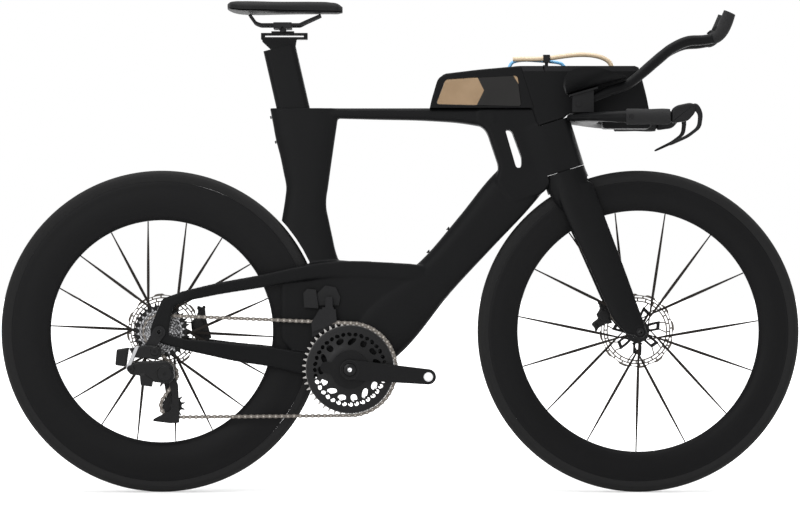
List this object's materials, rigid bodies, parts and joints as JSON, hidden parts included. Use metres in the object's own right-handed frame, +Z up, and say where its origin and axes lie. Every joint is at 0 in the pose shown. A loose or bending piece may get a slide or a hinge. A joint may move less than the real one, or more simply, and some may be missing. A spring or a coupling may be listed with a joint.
{
  "type": "time trial bike",
  "caption": "Time trial bicycle with deep aero frame, deep rims, disc brakes, base bar with forearm cups and raised extensions, built-in drink and storage boxes",
  "frame": {"origin": "on the ground, midway between the axles, in the middle plane", "axes": "+X towards the front wheel, +Y to the rider's left, +Z up"},
  "size_m": [1.6828, 0.4232, 1.035],
  "materials": {
    "carbon_matt": "matt near-black coated carbon composite",
    "carbon_rim": "satin near-black carbon composite",
    "tyre_rubber": "matt black tread rubber",
    "bare_steel": "bright satin steel",
    "dark_steel": "black oxide steel",
    "chain_steel": "oiled grey-brown steel",
    "silver_alloy": "satin silver alloy",
    "black_alloy": "black anodised alloy",
    "black_plastic": "fine grained black moulding",
    "grip_rubber": "soft matt black rubber",
    "saddle_skin": "matt black synthetic cover over foam",
    "pad_fabric": "charcoal knitted foam pad",
    "smoked_window": "bronze tinted clear moulding",
    "beige_tube": "semi-clear beige drinking tube",
    "blue_tube": "semi-clear blue tube"
  },
  "bodies": {
    "frame": {"main_frame": "carbon_matt", "frame_bearings": "bare_steel", "derailleur_hanger": "black_alloy", "derailleur_knuckle": "black_alloy", "rear_axle": "black_alloy", "rear_caliper": "black_alloy", "storage_box": "carbon_matt", "box_windows": "smoked_window", "reservoir": "black_plastic", "front_derailleur": "black_plastic", "chain": "chain_steel", "frame_fasteners": "dark_steel"},
    "steering": {"fork": "carbon_matt", "front_axle": "black_alloy", "front_caliper": "black_alloy", "stem_module": "carbon_matt", "module_cover": "black_plastic", "base_bar": "carbon_matt", "bar_grips": "grip_rubber", "brake_lever_bodies": "black_plastic", "arm_risers": "black_alloy", "arm_cups": "carbon_matt", "arm_pads": "pad_fabric", "extensions": "carbon_matt", "extension_grips": "grip_rubber", "tube_clip": "black_plastic", "drink_tube": "beige_tube", "return_tube": "blue_tube"},
    "front_wheel": {"front_tyre": "tyre_rubber", "front_rim": "carbon_rim", "front_spokes": "dark_steel", "front_hub": "black_alloy", "front_rotor": "bare_steel"},
    "rear_wheel": {"rear_tyre": "tyre_rubber", "rear_rim": "carbon_rim", "rear_spokes": "dark_steel", "rear_hub": "black_alloy", "rear_rotor": "bare_steel"},
    "cassette": {"cassette": "silver_alloy"},
    "crankset": {"right_crank": "carbon_rim", "left_crank": "carbon_rim", "chainrings": "black_alloy"},
    "front_cage": {"front_derailleur_cage": "dark_steel"},
    "derailleur_link": {"derailleur_link": "black_alloy"},
    "derailleur_lower": {"derailleur_lower_knuckle": "black_alloy"},
    "derailleur_cage": {"derailleur_cage": "black_alloy"},
    "guide_pulley": {"guide_pulley": "black_plastic"},
    "tension_pulley": {"tension_pulley": "black_plastic"},
    "seatpost": {"seatpost": "carbon_matt"},
    "saddle_carriage": {"saddle_carriage": "black_alloy"},
    "saddle": {"saddle_rails": "dark_steel", "saddle_shell": "black_plastic", "saddle_cover": "saddle_skin"},
    "storage_lid": {"storage_lid": "black_plastic"},
    "right_brake_lever": {"right_brake_lever": "black_alloy"},
    "left_brake_lever": {"left_brake_lever": "black_alloy"},
    "right_bar_button": {"right_bar_button": "black_plastic"},
    "left_bar_button": {"left_bar_button": "black_plastic"},
    "right_extension_button": {"right_extension_button": "black_plastic"},
    "left_extension_button": {"left_extension_button": "black_plastic"}
  },
  "joints": [
    {"name": "steering_turn", "type": "hinge", "parent": "frame", "child": "steering", "pos_m": [0.3477, 0, 0.67081], "axis": [-0.3007, 0, 0.9537], "range_deg": [-35, 35], "deforming": ["return_tube"]},
    {"name": "front_wheel_spin", "type": "hinge", "parent": "steering", "child": "front_wheel", "pos_m": [0.5025, 0, 0.339], "axis": [0, 1, 0], "continuous": true},
    {"name": "rear_wheel_spin", "type": "hinge", "parent": "frame", "child": "rear_wheel", "pos_m": [-0.5025, 0, 0.339], "axis": [0, 1, 0], "continuous": true},
    {"name": "cassette_spin", "type": "hinge", "parent": "frame", "child": "cassette", "pos_m": [-0.5025, 0, 0.339], "axis": [0, 1, 0], "continuous": true},
    {"name": "crank_spin", "type": "hinge", "parent": "frame", "child": "crankset", "pos_m": [-0.105, 0, 0.26], "axis": [0, 1, 0], "continuous": true, "deforming": ["chain"]},
    {"name": "front_cage_shift", "type": "slide", "parent": "frame", "child": "front_cage", "axis": [0, 1, 0], "range_m": [0, 0.0075]},
    {"name": "derailleur_link_swing", "type": "hinge", "parent": "frame", "child": "derailleur_link", "pos_m": [-0.5625, -0.084, 0.304], "axis": [1, 0, 0], "range_deg": [-40, 18]},
    {"name": "derailleur_lower_swing", "type": "hinge", "parent": "derailleur_link", "child": "derailleur_lower", "pos_m": [-0.5625, -0.096, 0.262], "axis": [1, 0, 0], "range_deg": [-18, 40]},
    {"name": "derailleur_cage_swing", "type": "hinge", "parent": "derailleur_lower", "child": "derailleur_cage", "pos_m": [-0.4885, 0, 0.247], "axis": [0, 1, 0], "range_deg": [-15, 45], "stiffness_Nm_per_rad": 0.5},
    {"name": "guide_pulley_spin", "type": "hinge", "parent": "derailleur_cage", "child": "guide_pulley", "pos_m": [-0.4915, 0, 0.249], "axis": [0, 1, 0], "continuous": true},
    {"name": "tension_pulley_spin", "type": "hinge", "parent": "derailleur_cage", "child": "tension_pulley", "pos_m": [-0.4779, 0, 0.1842], "axis": [0, 1, 0], "continuous": true},
    {"name": "seatpost_height", "type": "slide", "parent": "frame", "child": "seatpost", "axis": [-0.2233, 0, 0.9748], "range_m": [-0.05, 0.02]},
    {"name": "saddle_setback", "type": "slide", "parent": "seatpost", "child": "saddle_carriage", "axis": [1, 0, 0], "range_m": [-0.02, 0.02]},
    {"name": "saddle_tilt", "type": "hinge", "parent": "saddle_carriage", "child": "saddle", "pos_m": [-0.2473, 0, 0.977], "axis": [0, 1, 0], "range_deg": [-8, 8]},
    {"name": "storage_lid_open", "type": "hinge", "parent": "frame", "child": "storage_lid", "pos_m": [0.0915, 0, 0.87641], "axis": [0, -1, 0], "range_deg": [0, 60]},
    {"name": "right_brake_pull", "type": "hinge", "parent": "steering", "child": "right_brake_lever", "pos_m": [0.6, -0.195, 0.80301], "axis": [0, 1, 0], "range_deg": [0, 20], "stiffness_Nm_per_rad": 0.6},
    {"name": "left_brake_pull", "type": "hinge", "parent": "steering", "child": "left_brake_lever", "pos_m": [0.6, 0.195, 0.80301], "axis": [0, 1, 0], "range_deg": [0, 20], "stiffness_Nm_per_rad": 0.6},
    {"name": "right_bar_button_press", "type": "slide", "parent": "steering", "child": "right_bar_button", "axis": [0, 1, 0], "range_m": [0, 0.001], "stiffness_N_per_m": 400},
    {"name": "left_bar_button_press", "type": "slide", "parent": "steering", "child": "left_bar_button", "axis": [0, -1, 0], "range_m": [0, 0.001], "stiffness_N_per_m": 400},
    {"name": "right_extension_button_press", "type": "slide", "parent": "steering", "child": "right_extension_button", "axis": [0.6428, 0, -0.766], "range_m": [0, 0.001], "stiffness_N_per_m": 400},
    {"name": "left_extension_button_press", "type": "slide", "parent": "steering", "child": "left_extension_button", "axis": [0.6428, 0, -0.766], "range_m": [0, 0.001], "stiffness_N_per_m": 400}
  ],
  "couplings": [
    {"joint": "cassette_spin", "follows": "crank_spin", "ratio": 2.8235},
    {"joint": "tension_pulley_spin", "follows": "crank_spin", "ratio": 4},
    {"joint": "guide_pulley_spin", "follows": "crank_spin", "ratio": -4},
    {"joint": "derailleur_lower_swing", "follows": "derailleur_link_swing", "ratio": -1}
  ]
}
